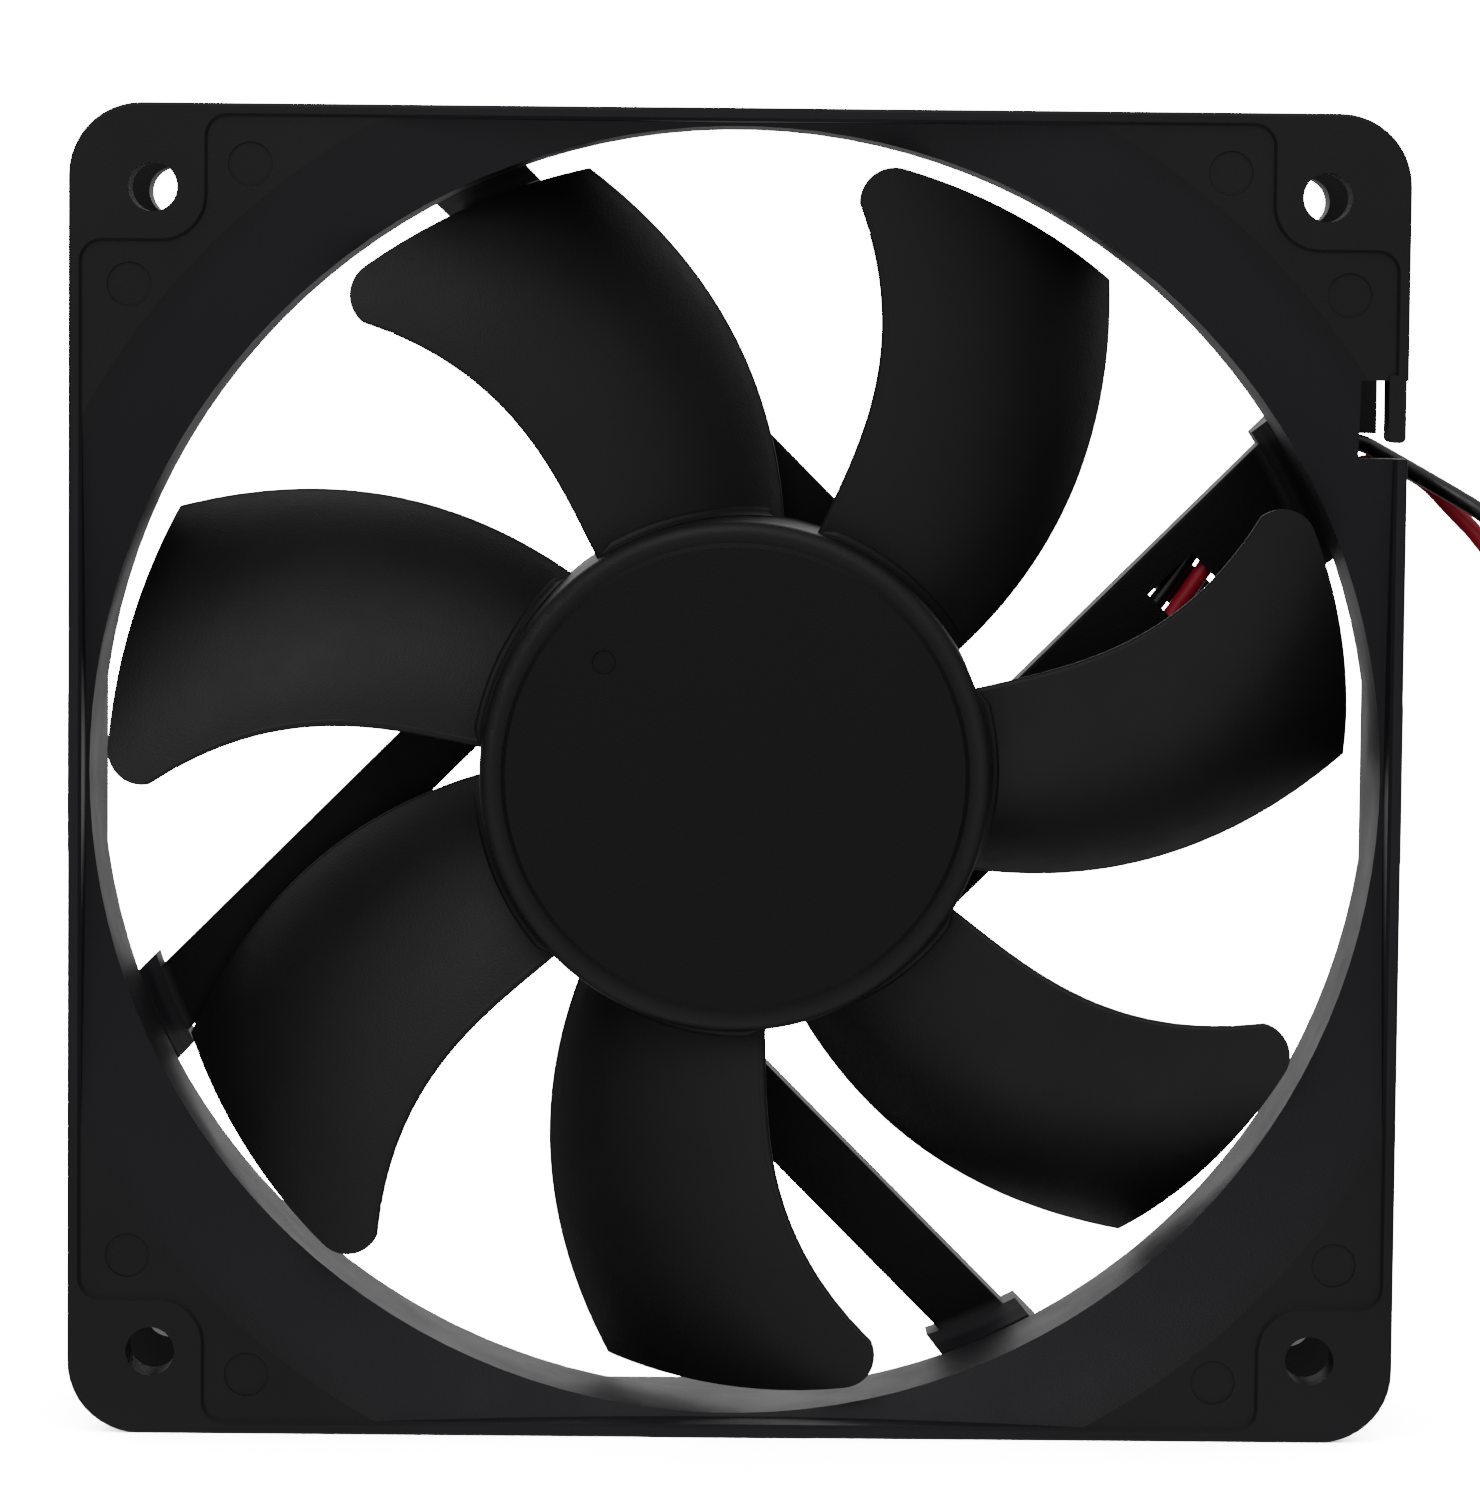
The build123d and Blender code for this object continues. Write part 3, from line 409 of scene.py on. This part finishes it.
MATERIALS = {
    "black_plastic": moulded_plastic(
        "black_plastic",
        (0.0215, 0.0215, 0.0238),
        (0.0275, 0.0275, 0.0302),
        0.46,
        specular=0.27,
        painted_light_zones=(
            # Painted light: the flare and bore wall round the opening are lighter, standing in for the
            # light they catch
            (FLARE_PAINTED_LIGHT_EDGE, (0.028, 0.028, 0.032)),
            # Painted light: the strut root pads next to the bore are much lighter, making up for the
            # shade they sit in
            (ROOT_PAINTED_LIGHT_EDGE, (0.055, 0.055, 0.06)),
            # Painted shade: the struts and motor mount within 56 mm of the axis are darkened, standing in
            # for the shade of the blades and hub in front of them
            (STRUT_PAINTED_SHADE_EDGE, (0.003, 0.003, 0.0035)),
        ),
    ),
    "rotor_plastic": moulded_plastic(
        "rotor_plastic",
        (0.0195, 0.0196, 0.0206),
        (0.0245, 0.0246, 0.0258),
        0.47,
        specular=0.38,
        # Painted shade: the hub's front face inside its rim is darker than the blades, leaving the rim
        # fillet lighter as a painted highlight
        painted_light_zones=((HUB_PAINTED_SHADE_EDGE, (0.0046, 0.0047, 0.005)),),
    ),
    "yoke_steel": metal("yoke_steel", (0.34, 0.34, 0.35), (0.5, 0.5, 0.51), 0.35, (1, 6, 1)),
    "magnet_rubber": moulded_plastic("magnet_rubber", (0.03, 0.028, 0.027), (0.05, 0.046, 0.045), 0.7),
    "bearing_steel": metal("bearing_steel", (0.62, 0.62, 0.64), (0.76, 0.76, 0.78), 0.16, (1, 8, 1)),
    "shaft_steel": metal("shaft_steel", (0.58, 0.58, 0.6), (0.72, 0.72, 0.74), 0.2, (1, 8, 1)),
    "spring_steel": metal("spring_steel", (0.42, 0.42, 0.44), (0.58, 0.58, 0.6), 0.3),
    "clip_steel": metal("clip_steel", (0.2, 0.2, 0.22), (0.34, 0.34, 0.36), 0.35),
    "washer_nylon": moulded_plastic("washer_nylon", (0.68, 0.66, 0.6), (0.8, 0.78, 0.73), 0.4),
    "tube_brass": metal("tube_brass", (0.55, 0.38, 0.14), (0.74, 0.56, 0.26), 0.28, (1, 8, 1)),
    "core_steel": metal(
        "core_steel", (0.25, 0.25, 0.26), (0.5, 0.5, 0.51), 0.4, (0.3, 9, 0.3), 1400.0, 0.00002
    ),
    "insulator_plastic": moulded_plastic("insulator_plastic", (0.6, 0.56, 0.48), (0.74, 0.7, 0.62), 0.45),
    "winding_copper": copper_winding("winding_copper"),
    "pin_tin": metal("pin_tin", (0.6, 0.6, 0.61), (0.78, 0.78, 0.79), 0.25),
    "board_laminate": board_laminate("board_laminate"),
    "chip_epoxy": moulded_plastic("chip_epoxy", (0.012, 0.012, 0.013), (0.024, 0.024, 0.026), 0.6),
    "capacitor_ceramic": moulded_plastic("capacitor_ceramic", (0.4, 0.27, 0.14), (0.52, 0.38, 0.22), 0.5),
    "solder": metal("solder", (0.5, 0.5, 0.52), (0.72, 0.72, 0.74), 0.28),
    "wire_black": wire_jacket("wire_black", (0.006, 0.006, 0.007), (0.012, 0.012, 0.013), 0.32, 0.9),
    "wire_red": wire_jacket("wire_red", (0.55, 0.012, 0.036), (0.68, 0.024, 0.058), 0.36, 0.5),
    "label_foil": moulded_plastic("label_foil", (0.5, 0.51, 0.52), (0.6, 0.61, 0.62), 0.42),
    "tie_plastic": moulded_plastic("tie_plastic", (0.014, 0.014, 0.015), (0.03, 0.03, 0.032), 0.4),
    "plug_nylon": moulded_plastic("plug_nylon", (0.62, 0.6, 0.52), (0.74, 0.72, 0.65), 0.38),
    "contact_brass": metal("contact_brass", (0.6, 0.46, 0.2), (0.78, 0.62, 0.34), 0.22),
}


def give(obj, material):
    """Puts one material on the whole of an object."""
    obj.data.materials.clear()
    obj.data.materials.append(material)


slots = {part["node"]: part["material_slot"] for part in frame["record"]["subparts"]}
for name, node in frame["nodes"].items():
    give(node, MATERIALS[slots[name]])
give(red_wire, MATERIALS["wire_red"])
give(black_wire, MATERIALS["wire_black"])


# ---- Blade roots ----

# The hub's side widens towards the back, from its radius at its front edge
HUB_RADIUS = 0.02316
HUB_FRONT = -0.0116
HUB_DRAFT = 0.016
IN_FRONT = -0.05

# ROOT_STEPS angles go round the hub. A fillet has ROOT_ARC points across at each of its own angles, and
# it tapers over ROOT_TAPER of them at both ends, where it starts with ROOT_END of one step's share.
ROOT_SIZE = 0.0008
ROOT_SUNK = 0.0003
ROOT_STEPS = 480
ROOT_ARC = 5
ROOT_TAPER = 5
ROOT_END = 0.4


def front_height(tree, radius, angle):
    """Where the rotor's front surface lies along the axis, or None in a gap between blades."""
    start = Vector((radius * math.cos(angle), IN_FRONT, radius * math.sin(angle)))
    hit = tree.ray_cast(start, Vector((0, 1, 0)))[0]
    return None if hit is None else hit.y


def root_runs(tree):
    """Runs of neighbouring angles at which a blade meets the hub, one run for each blade."""
    radius = HUB_RADIUS + ROOT_SIZE
    found = []
    for k in range(ROOT_STEPS):
        angle = 2 * math.pi * k / ROOT_STEPS
        found.append((angle, front_height(tree, radius, angle)))
    first_gap = next(k for k in range(ROOT_STEPS) if found[k][1] is None)
    runs = [[]]
    for angle, height in found[first_gap:] + found[:first_gap]:
        if height is None:
            if runs[-1]:
                runs.append([])
        else:
            runs[-1].append((angle, height))
    return [run for run in runs if len(run) > 2 * ROOT_TAPER]


def fillet_section(angle, height, size):
    """Points round one cut through a fillet: a hollow arc, and a point sunk into the hub."""
    hub = HUB_RADIUS + HUB_DRAFT * (height - HUB_FRONT)
    points = []
    for j in range(ROOT_ARC):
        turn = math.pi / 2 * j / (ROOT_ARC - 1)
        points.append((hub + size * (1 - math.cos(turn)), height - size * (1 - math.sin(turn))))
    points.append((hub - ROOT_SUNK, height + ROOT_SUNK))
    return [(radius * math.cos(angle), y, radius * math.sin(angle)) for radius, y in points]


def add_root_fillets(impeller):
    """Hollow fillets where the front of each blade runs into the side of the hub."""
    mesh = impeller.data
    tree = BVHTree.FromPolygons([v.co for v in mesh.vertices], [p.vertices for p in mesh.polygons])
    verts = []
    faces = []
    for run in root_runs(tree):
        base = len(verts)
        for k, (angle, height) in enumerate(run):
            size = ROOT_SIZE * min(1.0, (min(k, len(run) - 1 - k) + ROOT_END) / ROOT_TAPER)
            verts += fillet_section(angle, height, size)
        across = ROOT_ARC + 1
        for k in range(len(run) - 1):
            for j in range(across):
                a = base + k * across + j
                b = base + k * across + (j + 1) % across
                faces.append((a, b, b + across, a + across))
        last = base + (len(run) - 1) * across
        faces.append(tuple(range(base + across - 1, base - 1, -1)))
        faces.append(tuple(range(last, last + across)))
    data = bpy.data.meshes.new("blade_root_fillets")
    data.from_pydata(verts, [], faces)
    data.update()
    for polygon in data.polygons:
        polygon.use_smooth = True
    piece = bpy.data.objects.new("blade_root_fillets", data)
    bpy.context.collection.objects.link(piece)
    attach(piece, "rotor")
    give(piece, MATERIALS["rotor_plastic"])


add_root_fillets(frame["nodes"]["impeller"])


# ---- Stage ----

# Brightness of the room in each direction. The backdrop is what the camera itself sees behind the fan.
BACKDROP = 20.0
FRONT_LIGHT = 0.34
SIDE_LIGHT = 0.12
BACK_LIGHT = 0.8
ENDS_LIGHT = 0.38
BACK_TILT = 0.6

# Where each light of the room fades, on the direction's Y or Z from -1 to 1
FRONT_FADE = (-0.9, -0.15)
BACK_FADE = (0.45, 0.85)
TILT_FADE = (-0.35, 0.35)
ENDS_FADE = (0.35, 0.95)

FLOOR_HALF = 6.0
FLOOR_POWER = 88.0
FLOOR_SOFTNESS = 2.6
KEY_PLACE = (-0.1, -1.0, 0.75)
KEY_SIZE = 0.7
KEY_POWER = 2.0


def add_floor():
    """A plain white floor with its own overhead light, which doesn't light the fan."""
    mesh = bpy.data.meshes.new("floor")
    z = FLOOR_Z * MM
    corners = [(-1, -1), (1, -1), (1, 1), (-1, 1)]
    mesh.from_pydata([(x * FLOOR_HALF, y * FLOOR_HALF, z) for x, y in corners], [], [(0, 1, 2, 3)])
    floor = bpy.data.objects.new("floor", mesh)
    bpy.context.collection.objects.link(floor)
    graph = Graph("floor_white")
    tone = graph.span(graph.noise(FLOOR_TONE), 0.0, 1.0)
    graph.colour(graph.blend(tone, (0.9, 0.9, 0.9), (0.93, 0.93, 0.93)))
    graph.set(Roughness=0.8, Specular_IOR_Level=0.2)
    give(floor, graph.material)
    floor.visible_diffuse = False
    floor.visible_glossy = False

    sun = bpy.data.lights.new("floor_light", "SUN")
    sun.energy = FLOOR_POWER
    sun.angle = FLOOR_SOFTNESS
    lamp = bpy.data.objects.new("floor_light", sun)
    bpy.context.collection.objects.link(lamp)
    lit = bpy.data.collections.new("lit_by_floor_light")
    lit.objects.link(floor)
    lamp.light_linking.receiver_collection = lit


def add_world():
    """A white room, lit from behind, in front, above and below, and dimmer at the sides."""
    world = bpy.data.worlds.new("studio")
    world.use_nodes = True
    nodes = world.node_tree.nodes
    links = world.node_tree.links
    split = nodes.new("ShaderNodeSeparateXYZ")
    links.new(nodes.new("ShaderNodeTexCoord").outputs["Generated"], split.inputs["Vector"])

    def ramp(socket, fade, low, high):
        node = nodes.new("ShaderNodeMapRange")
        node.interpolation_type = "SMOOTHSTEP"
        node.inputs["From Min"].default_value = fade[0]
        node.inputs["From Max"].default_value = fade[1]
        node.inputs["To Min"].default_value = low
        node.inputs["To Max"].default_value = high
        links.new(socket, node.inputs["Value"])
        return node.outputs["Result"]

    def combine(operation, first, second):
        node = nodes.new("ShaderNodeMath")
        node.operation = operation
        links.new(first, node.inputs[0])
        links.new(second, node.inputs[1])
        return node.outputs["Value"]

    front = ramp(split.outputs["Y"], FRONT_FADE, FRONT_LIGHT, SIDE_LIGHT)
    level = ramp(split.outputs["Y"], BACK_FADE, SIDE_LIGHT, BACK_LIGHT)
    tilt = ramp(split.outputs["Z"], TILT_FADE, 1.0 - BACK_TILT, 1.0 + BACK_TILT)
    back = combine("MULTIPLY", level, tilt)
    upright = nodes.new("ShaderNodeMath")
    upright.operation = "ABSOLUTE"
    links.new(split.outputs["Z"], upright.inputs[0])
    ends = ramp(upright.outputs["Value"], ENDS_FADE, 0.0, ENDS_LIGHT)
    room = nodes["Background"]
    room.inputs["Color"].default_value = (1.0, 1.0, 1.0, 1.0)
    links.new(combine("ADD", combine("MAXIMUM", front, back), ends), room.inputs["Strength"])

    backdrop = nodes.new("ShaderNodeBackground")
    backdrop.inputs["Color"].default_value = (1.0, 1.0, 1.0, 1.0)
    backdrop.inputs["Strength"].default_value = BACKDROP
    pick = nodes.new("ShaderNodeMixShader")
    links.new(nodes.new("ShaderNodeLightPath").outputs["Is Camera Ray"], pick.inputs["Fac"])
    links.new(room.outputs["Background"], pick.inputs[1])
    links.new(backdrop.outputs["Background"], pick.inputs[2])
    links.new(pick.outputs["Shader"], nodes["World Output"].inputs["Surface"])
    bpy.context.scene.world = world


def add_key_light():
    """A soft square lamp above the camera, facing the fan."""
    data = bpy.data.lights.new("key", "AREA")
    data.shape = "RECTANGLE"
    data.size = KEY_SIZE
    data.size_y = KEY_SIZE
    data.energy = KEY_POWER
    light = bpy.data.objects.new("key", data)
    bpy.context.collection.objects.link(light)
    light.location = KEY_PLACE
    light.rotation_euler = (-Vector(KEY_PLACE)).to_track_quat("-Z", "Y").to_euler()


add_floor()
add_world()
add_key_light()
